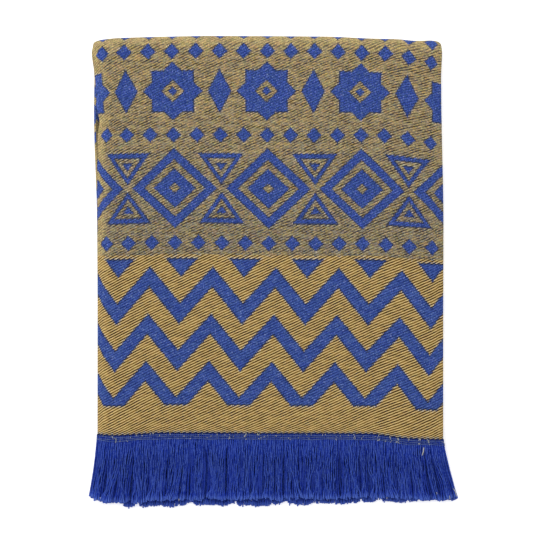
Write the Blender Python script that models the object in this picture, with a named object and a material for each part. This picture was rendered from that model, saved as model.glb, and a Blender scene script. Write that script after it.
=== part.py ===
"""Peshtemal towel, folded in thirds across and in quarters along, with a fringe at each end.

Metres, +Z up. The towel lies on its underside at z = 0, +Y points to the rolled fold at the top
of the stack and -Y to the fringes. The cloth and both fringes are built flat, as they are woven:
x across the cloth, y along it and z through it. Every point is then carried round the folds.
"""

from collections import namedtuple
import math

import bmesh
import bpy
import numpy as np

# The cloth, and the stack of twelve layers that it is folded into
CLOTH_THICK = 0.0012
LAYER_PITCH = 0.0017  # from one layer to the next
LAYERS = 12

# The folded towel, measured between the centres of its folds
MIDDLE_X = -0.0046  # the flared fringe puts the middle of the cloth left of the part's middle
FOLD_X = 0.1632  # each side of the middle
TOP_Y = 0.2127
BOTTOM_Y = -0.1490
NEAR_HEM_Y = -0.1550  # the end of the cloth that lies on top
UNDER_HEM_Y = -0.1608  # the other end, which shows below it
INNER_FLAP = 0.955  # how far the inner flap reaches, as a share of FOLD_X
BACK_FLAP = 0.97
SIDE_ROLL = 1.5  # how much further out than up a fold swells
TOP_ROLL = 1.3
BOTTOM_ROLL = 1.0

# The fringe: a woven heading, and strands that stand in its edge
HEADING_GAP = 0.0003
HEADING_LENGTH = 0.0055
FRONT_STRANDS = 44
FLAP_STRANDS = 24
STRAND_SHARE = 0.62  # of the pitch from strand to strand
RAGGED = 0.0016
RAGGED_TURNS = ((0.6, 731.0), (0.4, 1973.0))  # share, radians per metre across the flat cloth
UNDER_LONGER = 0.0062
FLARE_LENGTH = 0.064
FLARE_CURVE = 1.4
SAG_LENGTH = 0.040  # the fringe comes down to the floor over this length
SAG_LAYERS = 6

# How the stack lies: soft waves, a lean to the left at the top, side folds that aren't quite above
# each other, and lower layers that show at the left
WAVE = 0.025
WAVE_TURNS = ((21.0, 9.0, 0.4), (-15.0, 14.0, 2.0))  # radians per metre across and along, start
STAGGER = 0.0011
STAGGER_UP = 465.0  # radians per metre
STAGGER_ALONG = 12.0
STAGGER_CHANGE = 0.4
LEAN = 0.0034
LEAN_FROM = 0.05
LEAN_TO = 0.20
SLIP = 0.0022
SLIP_Y = 0.133
SLIP_LENGTH = 0.055
CROWN_FROM = 0.12

# A straight stretch of a folded path, and how the turn after it swells. Its face is 1 where the
# front of the cloth looks up and -1 where it looks down.
Run = namedtuple("Run", "start end level face roll turn_cells")

THIRDS = (
    Run(INNER_FLAP * FOLD_X, -FOLD_X, -LAYER_PITCH, -1, SIDE_ROLL, 4),
    Run(-FOLD_X, FOLD_X, 0.0, 1, SIDE_ROLL, 5),
    Run(FOLD_X, -BACK_FLAP * FOLD_X, -2 * LAYER_PITCH, -1, SIDE_ROLL, 0),
)


def layer_level(layer):
    """Height of the middle of a layer, counted from the floor."""
    return CLOTH_THICK / 2 + layer * LAYER_PITCH


QUARTERS = (
    Run(NEAR_HEM_Y, TOP_Y, layer_level(11), 1, TOP_ROLL, 9),
    Run(TOP_Y, BOTTOM_Y, layer_level(0), -1, BOTTOM_ROLL, 6),
    Run(BOTTOM_Y, TOP_Y, layer_level(5), 1, TOP_ROLL, 5),
    Run(TOP_Y, UNDER_HEM_Y, layer_level(6), -1, TOP_ROLL, 0),
)
LENGTH_CELLS = 7

# From the left fold to the right: place as a share of FOLD_X, how far the rows sink towards the
# fringe, how far the top fold falls back, how much the stack is pressed, how far the fringe flares
Side = namedtuple("Side", "across sink crown press flare")

SIDES = (
    Side(-1.0, 0.0, 0.0043, 0.16, -0.0100),
    Side(-0.97, 0.0, 0.0038, 0.09, -0.0094),
    Side(-0.89, 0.0, 0.0027, 0.02, -0.0079),
    Side(-0.67, 0.0, 0.0010, 0.0, -0.0046),
    Side(-0.37, 0.0, 0.0002, 0.0, -0.0018),
    Side(0.0, 0.0, 0.0002, 0.0, 0.0),
    Side(0.37, 0.0, 0.0008, 0.0, 0.0020),
    Side(0.62, 0.0, 0.0022, 0.0, 0.0052),
    Side(0.77, 0.0001, 0.0033, 0.0, 0.0088),
    Side(0.87, 0.0012, 0.0034, 0.02, 0.0129),
    Side(0.955, 0.0036, 0.0028, 0.09, 0.0170),
    Side(1.0, 0.0055, 0.0020, 0.16, 0.0195),
)

# Down a strand from its heading: place, how much narrower than the row above, share of the ragged end
Row = namedtuple("Row", "y shrink ragged")

STRAND_ROWS = (
    Row(-0.1740, 0.92, 0.0),
    Row(-0.1930, 0.92, 0.0),
    Row(-0.2184, 0.75, 1.0),
)

# An end of the cloth: its hem's place on the flat cloth, the way its fringe stands out there, the
# hem's place in the folded towel, and how much further than the top fringe this one reaches
End = namedtuple("End", "hem outward y longer")


def path_turn(run, following):
    """Radius and length of the half turn between two runs."""
    radius = abs(run.level - following.level) / 2
    return radius, math.pi * radius * (1 + run.roll) / 2


def path_length(runs):
    """Length of the flat cloth that a folded path takes up."""
    turns = sum(path_turn(*pair)[1] for pair in zip(runs, runs[1:]))
    return sum(abs(run.end - run.start) for run in runs) + turns


def fold(along, offset, runs):
    """Carries points of a flat sheet round a chain of straight runs and half turns.

    along is the distance along the sheet and offset the height above its middle. Past either end
    the first and the last run go straight on. Returns each point's place and height.
    """
    place = np.zeros(len(along))
    height = np.zeros(len(along))
    done = 0.0
    for number, run in enumerate(runs):
        heading = np.sign(run.end - run.start)
        here = (along >= done) | (number == 0)
        place[here] = run.start + heading * (along[here] - done)
        height[here] = run.level + run.face * offset[here]
        done += abs(run.end - run.start)
        if number + 1 < len(runs):
            following = runs[number + 1]
            radius, length = path_turn(run, following)
            middle = (run.level + following.level) / 2
            side = np.sign(run.level - middle)
            here = along > done
            angle = np.clip((along[here] - done) / length, 0, 1) * np.pi
            reach = radius + side * run.face * offset[here]
            place[here] = run.end + heading * run.roll * reach * np.sin(angle)
            height[here] = middle + side * reach * np.cos(angle)
            done += length
    return place, height


def smooth_rise(value, low, high):
    """0 below low, 1 above high, and a smooth S between them."""
    share = np.clip((value - low) / (high - low), 0, 1)
    return share * share * (3 - 2 * share)


def drape(x, y, z):
    """Lets the neatly folded stack lie as loosely as a real one, and brings the fringe to the floor."""
    across = [side.across * FOLD_X for side in SIDES]
    sink, crown, press, flare = (
        np.interp(x, across, [getattr(side, column) for side in SIDES])
        for column in ("sink", "crown", "press", "flare")
    )
    past_hem = np.clip((NEAR_HEM_Y - y) / FLARE_LENGTH, 0, None)
    sag = SAG_LAYERS * LAYER_PITCH * smooth_rise(-y, -NEAR_HEM_Y, -NEAR_HEM_Y + SAG_LENGTH)
    wave = sum(np.sin(turn_x * x + turn_y * y + start) for turn_x, turn_y, start in WAVE_TURNS)
    lower = 1 - z / layer_level(LAYERS)
    slip = SLIP * lower * np.exp(-(((y - SLIP_Y) / SLIP_LENGTH) ** 2))
    stagger = STAGGER * np.sin(STAGGER_UP * z + 1) * (1 + STAGGER_CHANGE * np.sin(STAGGER_ALONG * y))
    lean = LEAN * smooth_rise(y, LEAN_FROM, LEAN_TO)
    return np.stack(
        [
            MIDDLE_X + x - lean - slip + stagger + flare * past_hem**FLARE_CURVE,
            y - sink * (1 - smooth_rise(past_hem, 0, 1)) - crown * smooth_rise(y, CROWN_FROM, TOP_Y),
            (z - sag) * (1 + WAVE * wave) * (1 - press),
        ],
        axis=1,
    )


def fold_up(mesh):
    """Moves each point of a flat mesh to its place in the folded towel."""
    flat = np.array([vert.co for vert in mesh.verts])
    x, offset = fold(flat[:, 0], flat[:, 2], THIRDS)
    y, z = fold(flat[:, 1], offset, QUARTERS)
    for vert, place in zip(mesh.verts, drape(x, y, z)):
        vert.co = place


def lay_out(runs, stops):
    """Cuts a folded path into cells.

    stops holds, for each run, the cuts inside it as distances from its start. Returns where the
    flat cloth is cut, and for each cell its run and its number there, or -1 in a turn.
    """
    cuts, cells, done = [], [], 0.0
    for number, run in enumerate(runs):
        length = abs(run.end - run.start)
        cuts += [done, *(done + stop for stop in stops[number]), done + length]
        cells += [(number, cell) for cell in range(len(stops[number]) + 1)]
        done += length
        if number + 1 < len(runs):
            turn = path_turn(run, runs[number + 1])[1]
            cuts += [done + turn * step / run.turn_cells for step in range(1, run.turn_cells)]
            cells += [(number, -1)] * run.turn_cells
            done += turn
    return cuts, cells


def stops_at(runs, marks):
    """For each run, the distance from its start of every mark that lies inside it."""
    stops = []
    for run in runs:
        low, high = sorted((run.start, run.end))
        inside = [mark for mark in marks if low + CLOTH_THICK < mark < high - CLOTH_THICK]
        stops.append(sorted(abs(mark - run.start) for mark in inside))
    return stops


def strand_stops(run, count):
    """Both edges of each of a run's strands, as distances from its start."""
    pitch = abs(run.end - run.start) / count
    edges = ((1 - STRAND_SHARE) / 2, (1 + STRAND_SHARE) / 2)
    return [pitch * (strand + edge) for strand in range(count) for edge in edges]


def weave_slab(across, along):
    """Builds a flat slab of cloth from cuts and cells each way, and returns its two end rows.

    Each quad starts at the corner that puts its diagonal the same way as in the layers above
    and below once the cloth is folded, so that the layers stay parallel.
    """
    (x_cuts, x_cells), (y_cuts, y_cells) = across, along
    mesh = bmesh.new()
    lower, upper = (
        [[mesh.verts.new((x, y, z)) for y in y_cuts] for x in x_cuts]
        for z in (-CLOTH_THICK / 2, CLOTH_THICK / 2)
    )
    for i, (x_run, _) in enumerate(x_cells):
        for j, (y_run, _) in enumerate(y_cells):
            corners = [(i, j), (i + 1, j), (i + 1, j + 1), (i, j + 1)]
            if x_run % 2 == y_run % 2:
                corners = corners[1:] + corners[:1]
            mesh.faces.new([upper[a][b] for a, b in corners])
            mesh.faces.new([lower[a][b] for a, b in corners[:1] + corners[:0:-1]])
    for j in range(len(y_cells)):
        mesh.faces.new([lower[0][j], upper[0][j], upper[0][j + 1], lower[0][j + 1]])
        mesh.faces.new([lower[-1][j], lower[-1][j + 1], upper[-1][j + 1], upper[-1][j]])
    near = [
        mesh.faces.new([lower[i][0], lower[i + 1][0], upper[i + 1][0], upper[i][0]])
        for i in range(len(x_cells))
    ]
    far = [
        mesh.faces.new([lower[i][-1], upper[i][-1], upper[i + 1][-1], lower[i + 1][-1]])
        for i in range(len(x_cells))
    ]
    return mesh, near, far


def grow_strands(mesh, faces, end):
    """Draws the strands out of a heading's edge, down to ragged tips."""
    for row in STRAND_ROWS:
        faces = bmesh.ops.extrude_discrete_faces(mesh, faces=faces)["faces"]
        for face in faces:
            middle = face.calc_center_median().x
            uneven = sum(share * math.sin(turns * middle) for share, turns in RAGGED_TURNS)
            y = row.y - row.ragged * (end.longer + RAGGED * uneven)
            for vert in face.verts:
                vert.co.x = middle + row.shrink * (vert.co.x - middle)
                vert.co.y = end.hem + end.outward * (end.y - y)


def make_object(name, mesh, material):
    """Folds a flat mesh up and makes it a smooth-shaded object."""
    fold_up(mesh)
    data = bpy.data.meshes.new(name)
    mesh.to_mesh(data)
    mesh.free()
    data.materials.append(material)
    data.shade_smooth()
    bpy.context.scene.collection.objects.link(bpy.data.objects.new(name, data))


def make_cloth(material):
    """The whole cloth, hem to hem, as one folded sheet."""
    x_marks = [side.across * FOLD_X for side in SIDES]
    y_marks = np.linspace(BOTTOM_Y, TOP_Y, LENGTH_CELLS + 1)
    across = lay_out(THIRDS, stops_at(THIRDS, x_marks))
    along = lay_out(QUARTERS, stops_at(QUARTERS, y_marks))
    mesh, _, _ = weave_slab(across, along)
    make_object("towel_cloth", mesh, material)


def make_fringe(name, end, material):
    """A woven heading just off one end of the cloth, folded with it, and its strands."""
    counts = (FLAP_STRANDS, FRONT_STRANDS, FLAP_STRANDS)
    across = lay_out(THIRDS, [strand_stops(run, count) for run, count in zip(THIRDS, counts)])
    root = end.hem + end.outward * HEADING_GAP
    edge = root + end.outward * HEADING_LENGTH
    y_run = 0 if end.outward < 0 else len(QUARTERS) - 1
    mesh, near, far = weave_slab(across, (sorted((root, edge)), [(y_run, 0)]))
    edge_faces = near if end.outward < 0 else far
    strands = [face for face, (_, cell) in zip(edge_faces, across[1]) if cell % 2 and cell > 0]
    grow_strands(mesh, strands, end)
    make_object(name, mesh, material)


def cotton(name, colour):
    """Matt cotton of one colour."""
    material = bpy.data.materials.new(name)
    material.use_nodes = True
    shader = material.node_tree.nodes["Principled BSDF"]
    shader.inputs["Base Color"].default_value = (*colour, 1)
    shader.inputs["Roughness"].default_value = 0.9
    shader.inputs["Metallic"].default_value = 0.0
    return material


def clear_scene():
    """Removes every object that the scene started with."""
    for item in list(bpy.data.objects):
        bpy.data.objects.remove(item)


clear_scene()
blue = cotton("blue_cotton", (0.018, 0.040, 0.216))
make_cloth(cotton("gold_and_blue_cotton", (0.235, 0.195, 0.125)))
make_fringe("fringe_top", End(0.0, -1, NEAR_HEM_Y, 0.0), blue)
make_fringe("fringe_under", End(path_length(QUARTERS), 1, UNDER_HEM_Y, UNDER_LONGER), blue)
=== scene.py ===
"""The looks of the folded peshtemal towel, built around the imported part.

Metres, in the part's own frame. The cloth, its headings and its fringes are worked out flat, as they are
woven: x across the cloth, y along it and z through it. Every point is then carried round the folds.
"""

from collections import namedtuple
from functools import partialmethod
import math

import bpy
import numpy as np
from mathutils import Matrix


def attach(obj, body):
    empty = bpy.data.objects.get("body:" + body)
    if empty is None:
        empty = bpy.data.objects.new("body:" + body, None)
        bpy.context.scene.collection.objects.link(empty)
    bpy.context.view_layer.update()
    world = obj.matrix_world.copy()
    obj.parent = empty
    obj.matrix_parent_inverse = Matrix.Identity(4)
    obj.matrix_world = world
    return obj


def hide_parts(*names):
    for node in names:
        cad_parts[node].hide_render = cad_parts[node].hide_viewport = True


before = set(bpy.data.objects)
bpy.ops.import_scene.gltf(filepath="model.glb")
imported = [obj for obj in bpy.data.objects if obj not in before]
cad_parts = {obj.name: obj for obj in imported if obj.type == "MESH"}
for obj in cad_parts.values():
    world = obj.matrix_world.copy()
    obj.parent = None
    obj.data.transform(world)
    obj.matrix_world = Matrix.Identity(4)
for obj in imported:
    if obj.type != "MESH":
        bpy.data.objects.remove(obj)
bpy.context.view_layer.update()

# The cloth: one flat-woven panel of double-faced cotton jacquard, gold with blue figures on its front and
# the colours changed over on its back. It is folded in thirds across and in quarters along, which makes a
# stack of twelve layers. These sizes and folds are those of the part's own solids.
CLOTH_THICK = 0.0012
LAYER_PITCH = 0.0017
LAYERS = 12

MIDDLE_X = -0.0048  # the middle of the front third
FOLD_X = 0.1635  # from the middle to the centre of each side fold
TOP_Y = 0.2143  # the centres of the folds at the top and at the bottom
BOTTOM_Y = -0.1490
NEAR_HEM_Y = -0.1560  # the hem that lies on top, and the other one
UNDER_HEM_Y = -0.1608
INNER_FLAP = 0.955  # how far the flaps reach, as shares of FOLD_X
BACK_FLAP = 0.97
SIDE_ROLL = 1.5  # how far a fold bulges out, in radii of its half turn
TOP_ROLL = 1.3
BOTTOM_ROLL = 1.0

# A flat stretch of the folded cloth: where it starts and ends, how high it lies, which way the front of
# the cloth faces there, and how far the fold after it bulges out
Run = namedtuple("Run", "start end level face roll")


def layer_level(layer):
    """Height of the middle of a layer, counted from the floor."""
    return CLOTH_THICK / 2 + layer * LAYER_PITCH


THIRDS = (
    Run(INNER_FLAP * FOLD_X, -FOLD_X, -LAYER_PITCH, -1, SIDE_ROLL),
    Run(-FOLD_X, FOLD_X, 0.0, 1, SIDE_ROLL),
    Run(FOLD_X, -BACK_FLAP * FOLD_X, -2 * LAYER_PITCH, -1, SIDE_ROLL),
)
QUARTERS = (
    Run(NEAR_HEM_Y, TOP_Y, layer_level(11), 1, TOP_ROLL),
    Run(TOP_Y, BOTTOM_Y, layer_level(0), -1, BOTTOM_ROLL),
    Run(BOTTOM_Y, TOP_Y, layer_level(5), 1, TOP_ROLL),
    Run(TOP_Y, UNDER_HEM_Y, layer_level(6), -1, TOP_ROLL),
)


def turn_after(run, following):
    """Radius of the half turn between two runs, and its length: half a circle, longer for its swell."""
    radius = abs(run.level - following.level) / 2
    return radius, math.pi * radius * (1 + run.roll) / 2


def stops_along(runs):
    """Where each run starts and ends, as distances along the flat cloth."""
    stops = [0.0, abs(runs[0].end - runs[0].start)]
    for run, following in zip(runs, runs[1:]):
        stops.append(stops[-1] + turn_after(run, following)[1])
        stops.append(stops[-1] + abs(following.end - following.start))
    return stops


def fold(along, offset, runs):
    """Carries points of a flat sheet round a chain of straight runs and half turns.

    On a run a point's place is the run's start plus its distance from there, and its height is the
    run's level plus its offset. On a turn it goes half round the level between the two runs.
    """
    place = np.zeros(along.shape)
    height = np.zeros(along.shape)
    done = 0.0
    for number, run in enumerate(runs):
        heading = np.sign(run.end - run.start)
        here = (along >= done) | (number == 0)
        place = np.where(here, run.start + heading * (along - done), place)
        height = np.where(here, run.level + run.face * offset, height)
        done += abs(run.end - run.start)
        if number + 1 < len(runs):
            following = runs[number + 1]
            radius, length = turn_after(run, following)
            middle = (run.level + following.level) / 2
            side = np.sign(run.level - middle)
            angle = np.clip((along - done) / length, 0, 1) * np.pi
            reach = radius + side * run.face * offset
            here = along > done
            place = np.where(here, run.end + heading * run.roll * reach * np.sin(angle), place)
            height = np.where(here, middle + side * reach * np.cos(angle), height)
            done += length
    return place, height


def smooth_rise(value, low, high):
    """0 below low, 1 above high, and a smooth S between them."""
    share = np.clip((value - low) / (high - low), 0, 1)
    return share * share * (3 - 2 * share)


def hump(value, middle, width):
    """1 at the middle, falling away on both sides as a bell."""
    return np.exp(-(((value - middle) / width) ** 2))


# How the stack lies, from the left fold to the right: place as a share of FOLD_X, how far its rows sink
# towards the fringe, how much further the hem does, how far the top fold falls back, how much the stack
# is pressed, how the fringe flares, and how much shorter it is
Side = namedtuple("Side", "across sink hem crown press flare trim")

SIDES = (
    Side(-1.03, 0.0005, 0.0006, 0.0085, 0.16, -0.0080, 0.0048),
    Side(-1.0, 0.0005, 0.0006, 0.0040, 0.16, -0.0080, 0.0048),
    Side(-0.97, 0.0006, 0.0013, 0.0040, 0.09, -0.0078, -0.0005),
    Side(-0.89, 0.0006, 0.0017, 0.0023, 0.02, -0.0074, -0.0028),
    Side(-0.67, -0.0008, 0.0004, 0.0012, 0.0, -0.0046, -0.0005),
    Side(-0.37, -0.0007, 0.0004, 0.0002, 0.0, -0.0018, 0.0),
    Side(0.0, 0.0002, 0.0, 0.0004, 0.0, 0.0, -0.0005),
    Side(0.37, 0.0007, -0.0005, 0.0008, 0.0, 0.0020, 0.0010),
    Side(0.62, 0.0006, 0.0, 0.0028, 0.0, 0.0045, 0.0028),
    Side(0.77, 0.0027, 0.0018, 0.0032, 0.0, 0.0070, 0.0020),
    Side(0.87, 0.0038, 0.0016, 0.0052, 0.02, 0.0093, 0.0003),
    Side(0.955, 0.0043, 0.0017, 0.0044, 0.09, 0.0118, 0.0002),
    Side(1.0, 0.0050, 0.0014, 0.0042, 0.16, 0.0126, 0.0028),
    Side(1.03, 0.0050, 0.0014, 0.0078, 0.16, 0.0126, 0.0028),
)
SIDE_BLEND = 0.004  # the bends between those places are rounded over about this length
HEM_FADE = 0.012  # how far above the hem its own share of the sinking fades away
CROWN_FROM = 0.12  # where the rows start to fall back towards the top fold

# The fringe flares and is trimmed by a power of its distance past the hem, as a share of this length
FLARE_LENGTH = 0.064
FLARE_CURVE = 1.25
SAG_LENGTH = 0.040  # past the hem the fringe comes down in this length, by so many layers
SAG_LAYERS = 6

# The layers don't lie quite true: the stack's height swells in slow waves, each turned by x, by y and by
# a start, every layer lies a little aside from the next, the upper end leans to the left, and the lowest
# layers slip to the left at one place
WAVE = 0.025
WAVE_TURNS = ((21.0, 9.0, 0.4), (-15.0, 14.0, 2.0))
STAGGER, STAGGER_UP = 0.0011, 465.0
STAGGER_CHANGE, STAGGER_ALONG = 0.4, 12.0
LEAN, LEAN_FROM, LEAN_TO = 0.0022, 0.05, 0.20
SLIP, SLIP_Y, SLIP_LENGTH = 0.0022, 0.133, 0.055

# The stack bulges a little round its top fold, most at its left, and its corners there are rounded
SPREAD_LEFT, SPREAD_RIGHT, SPREAD_FROM = 0.0225, 0.0085, 0.180
CORNER_ROUND, CORNER_LENGTH = 0.3, 0.010

# The top quarter's left fold is tucked in here and there, so that the quarters under it show: where along
# the fold, over what length, and how far
TUCKS = ((0.1690, 0.016, 0.0009), (0.1450, 0.010, 0.0030), (0.1220, 0.030, 0.0014))
TUCK_ABOVE = layer_level(8.5)
TUCK_FADE = 0.030  # how far from the fold a tuck is lost

# Soft ridges (a rise above 0) and troughs (below 0) that lie in the stack, listed one by one: where each
# is, which way it runs, its length and width, and its rise as a share of the stack's height
Crease = namedtuple("Crease", "x y degrees length width rise")

CREASES = (
    Crease(0.108, -0.105, 88.0, 0.060, 0.011, -0.030),
    Crease(0.086, -0.085, 94.0, 0.070, 0.012, 0.016),
    Crease(-0.148, 0.020, 91.0, 0.150, 0.007, 0.022),
    Crease(-0.125, 0.185, 40.0, 0.030, 0.010, 0.020),
    Crease(0.020, 0.050, 4.0, 0.110, 0.012, 0.012),
    Crease(-0.055, -0.140, 12.0, 0.045, 0.009, -0.018),
    Crease(0.060, 0.196, -3.0, 0.080, 0.008, -0.016),
)


def crease_rise(x, y):
    """The sum of the creases: each is a bell along its own line times a bell across it."""
    rise = 0.0
    for crease in CREASES:
        turn = math.radians(crease.degrees)
        along = (x - crease.x) * math.cos(turn) + (y - crease.y) * math.sin(turn)
        aside = (y - crease.y) * math.cos(turn) - (x - crease.x) * math.sin(turn)
        rise = rise + crease.rise * hump(along, 0, crease.length) * hump(aside, 0, crease.width)
    return rise


def side_value(x, column):
    """One column of SIDES at x, from straight lines between its rows that are averaged over a short way."""
    across = [side.across * FOLD_X for side in SIDES]
    values = [getattr(side, column) for side in SIDES]
    steps = SIDE_BLEND * np.array([-1.5, -0.75, 0.0, 0.75, 1.5])
    return sum(np.interp(x + step, across, values) for step in steps) / len(steps)


def drape(x, y, z):
    """Lets the neatly folded stack lie as loosely as a real one, and brings the fringe to the floor."""
    past_hem = np.clip((NEAR_HEM_Y - y) / FLARE_LENGTH, 0, None)
    sag = SAG_LAYERS * LAYER_PITCH * smooth_rise(-y, -NEAR_HEM_Y, -NEAR_HEM_Y + SAG_LENGTH)
    wave = sum(np.sin(turn_x * x + turn_y * y + start) for turn_x, turn_y, start in WAVE_TURNS)
    lower = 1 - z / layer_level(LAYERS)
    slip = SLIP * lower * hump(y, SLIP_Y, SLIP_LENGTH)
    stagger = STAGGER * np.sin(STAGGER_UP * z + 1) * (1 + STAGGER_CHANGE * np.sin(STAGGER_ALONG * y))
    stagger = stagger * (1 - smooth_rise(y, SPREAD_FROM, TOP_Y))
    lean = LEAN * smooth_rise(y, LEAN_FROM, LEAN_TO)
    hem = side_value(x, "hem") * np.exp(np.minimum(NEAR_HEM_Y - y, 0) / HEM_FADE)
    sink = side_value(x, "sink") * (1 - smooth_rise(y, LEAN_FROM, LEAN_TO)) + hem
    fall = side_value(x, "crown") * smooth_rise(y, CROWN_FROM, TOP_Y)
    flare = side_value(x, "flare") * past_hem**FLARE_CURVE
    shorter = side_value(x, "trim") * past_hem**FLARE_CURVE
    bulge = smooth_rise(y - fall, SPREAD_FROM, TOP_Y)
    bulge = bulge - CORNER_ROUND * smooth_rise(y, TOP_Y, TOP_Y + CORNER_LENGTH)
    spread = x * np.where(x < 0, SPREAD_LEFT, SPREAD_RIGHT) * bulge
    tuck = sum(depth * hump(y, place, length) for place, length, depth in TUCKS)
    tuck = tuck * (z > TUCK_ABOVE) * (1 - smooth_rise(x, -FOLD_X, TUCK_FADE - FOLD_X))
    squeeze = (1 + WAVE * wave + crease_rise(x, y)) * (1 - side_value(x, "press"))
    across = MIDDLE_X + x - lean - slip + stagger + flare + spread + tuck
    along = y - sink * (1 - smooth_rise(past_hem, 0, 1)) - fall + shorter
    return np.stack([across, along, (z - sag) * squeeze], axis=-1)


def lay_up(flat):
    """Carries points of the flat towel, as an array of x, y and z, round its folds and drapes them."""
    x, offset = fold(flat[..., 0], flat[..., 2], THIRDS)
    y, z = fold(flat[..., 1], offset, QUARTERS)
    return drape(x, y, z)


X_STOPS = stops_along(THIRDS)
Y_STOPS = stops_along(QUARTERS)
CLOTH_WIDTH, CLOTH_LENGTH = X_STOPS[-1], Y_STOPS[-1]
MIDDLE_ACROSS = (X_STOPS[2] + X_STOPS[3]) / 2  # the middle of the front third, on the flat cloth


def divide(stops, sizes):
    """Cuts the way between each stop and the next into even cells of about the size given for it."""
    counts = [math.ceil((end - start) / size) for start, end, size in zip(stops, stops[1:], sizes)]
    parts = [np.linspace(*ends, count, endpoint=False) for *ends, count in zip(stops, stops[1:], counts)]
    return np.append(np.concatenate(parts), stops[-1])


def weave_sheet(across, along, kept):
    """A closed thin sheet of the kept cells of a flat grid.

    Each kept cell is a quad half the cloth's thickness above the grid and one as far below it. Where a
    kept cell has no kept neighbour, a rim quad joins the two. Returns points, quads and the rims' count.
    """
    y, x = np.meshgrid(along, across, indexing="ij")
    middle = np.stack([x, y, 0 * x], -1)
    points = np.stack([middle + (0, 0, CLOTH_THICK / 2), middle - (0, 0, CLOTH_THICK / 2)])
    front, back = np.arange(2 * x.size).reshape(2, *x.shape)
    low, high = slice(-1), slice(1, None)
    around = ((low, low), (low, high), (high, high), (high, low))
    corners, under = [front[part] for part in around], [back[part] for part in around]
    quads = [np.stack(corners, -1)[kept], np.stack(under[::-1], -1)[kept]]
    framed = np.pad(kept, 1)
    beside = [framed[:-2, 1:-1], framed[1:-1, 2:], framed[2:, 1:-1], framed[1:-1, :-2]]
    rims = [
        np.stack([corners[n], under[n], under[(n + 1) % 4], corners[(n + 1) % 4]], -1)[kept & ~beside[n]]
        for n in range(4)
    ]
    quads = np.concatenate(quads + rims)
    used, quads = np.unique(quads, return_inverse=True)
    return points.reshape(-1, 3)[used], quads.reshape(-1, 4), sum(map(len, rims))


def make_mesh(name, points, faces, material):
    """Puts points and smooth faces into a new object."""
    data = bpy.data.meshes.new(name)
    data.from_pydata(points.reshape(-1, 3).tolist(), [], faces)
    data.shade_smooth()
    data.materials.append(material)
    piece = bpy.data.objects.new(name, data)
    bpy.context.scene.collection.objects.link(piece)
    return piece


def add_map(piece, name, uv):
    """Gives a piece a UV map from one pair of numbers for each of its points."""
    corners = np.zeros(len(piece.data.loops), np.int32)
    piece.data.loops.foreach_get("vertex_index", corners)
    piece.data.uv_layers.new(name=name).uv.foreach_set("vector", uv[corners].astype(np.float32).ravel())


def add_value(piece, name, values):
    """Gives each point of a piece a number that its material reads."""
    piece.data.attributes.new(name, "FLOAT", "POINT").data.foreach_set("value", values.astype(np.float32))


def feed(node, sockets):
    """Sets a node's sockets, each by its number or name, to a value or to the wire that leads to it."""
    for place, value in dict(sockets).items():
        if isinstance(value, Wire):
            node.id_data.links.new(value.socket, node.inputs[place])
        else:
            node.inputs[place].default_value = value


class Wire:
    """A socket in a material. Arithmetic on it adds Math nodes, and node() adds any other node."""

    def __init__(self, tree, socket=None):
        self.tree = tree
        self.socket = socket

    def node(self, kind, sockets=(), output=0, **settings):
        """Adds a node of that kind, sets its settings, and then the values or wires of its sockets."""
        added = self.tree.nodes.new("ShaderNode" + kind)
        for name, value in settings.items():
            setattr(added, name, value)
        feed(added, sockets)
        return Wire(self.tree, added.outputs[output])

    def other(self, output):
        """Another output of the same node."""
        return Wire(self.tree, self.socket.node.outputs[output])

    def math(self, operation, *values):
        """That operation on this and on the values after it."""
        return self.node("Math", enumerate((self, *values)), operation=operation)

    __add__ = __radd__ = partialmethod(math, "ADD")
    __sub__ = partialmethod(math, "SUBTRACT")
    __mul__ = __rmul__ = partialmethod(math, "MULTIPLY")
    __truediv__ = partialmethod(math, "DIVIDE")
    __lt__ = partialmethod(math, "LESS_THAN")
    __gt__ = partialmethod(math, "GREATER_THAN")
    __abs__ = partialmethod(math, "ABSOLUTE")
    floor = partialmethod(math, "FLOOR")
    fract = partialmethod(math, "FRACT")
    least = partialmethod(math, "MINIMUM")
    most = partialmethod(math, "MAXIMUM")

    def __rsub__(self, value):
        return self.node("Math", {0: value, 1: self}, operation="SUBTRACT")

    def from_nearest(self, spacing):
        """How far a length is from the nearest whole number of spacings."""
        return abs((self / spacing + 0.5).fract() - 0.5) * spacing

    def ease(self, low, high):
        """0 below low, 1 above high, and a smooth S between them."""
        return self.node("MapRange", {0: self, 1: low, 2: high}, interpolation_type="SMOOTHSTEP")

    def blend(self, first, second):
        """The first colour where this is 0 and the second where it is 1."""
        return self.node("Mix", {0: self, 6: first, 7: second}, output=2, data_type="RGBA")


def noise(kind, x, y, **sockets):
    """Noise of that kind in the plane of two wires."""
    place = x.node("CombineXYZ", {0: x, 1: y})
    return x.node(kind, {"Vector": place, **sockets}, noise_dimensions="2D")


def paint(red, green, blue):
    """A colour as a shader takes it, from the 0 to 255 of a screen."""
    screen = np.array([red, green, blue]) / 255
    return (*np.where(screen <= 0.04045, screen / 12.92, ((screen + 0.055) / 1.055) ** 2.4), 1.0)


def new_material(name):
    """A material that is made of nodes, with a plain shader to start from."""
    material = bpy.data.materials.new(name)
    material.use_nodes = True
    return material


def set_shader(material, sockets):
    """Sets the sockets of a material's shader."""
    feed(material.node_tree.nodes["Principled BSDF"], sockets)


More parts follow.
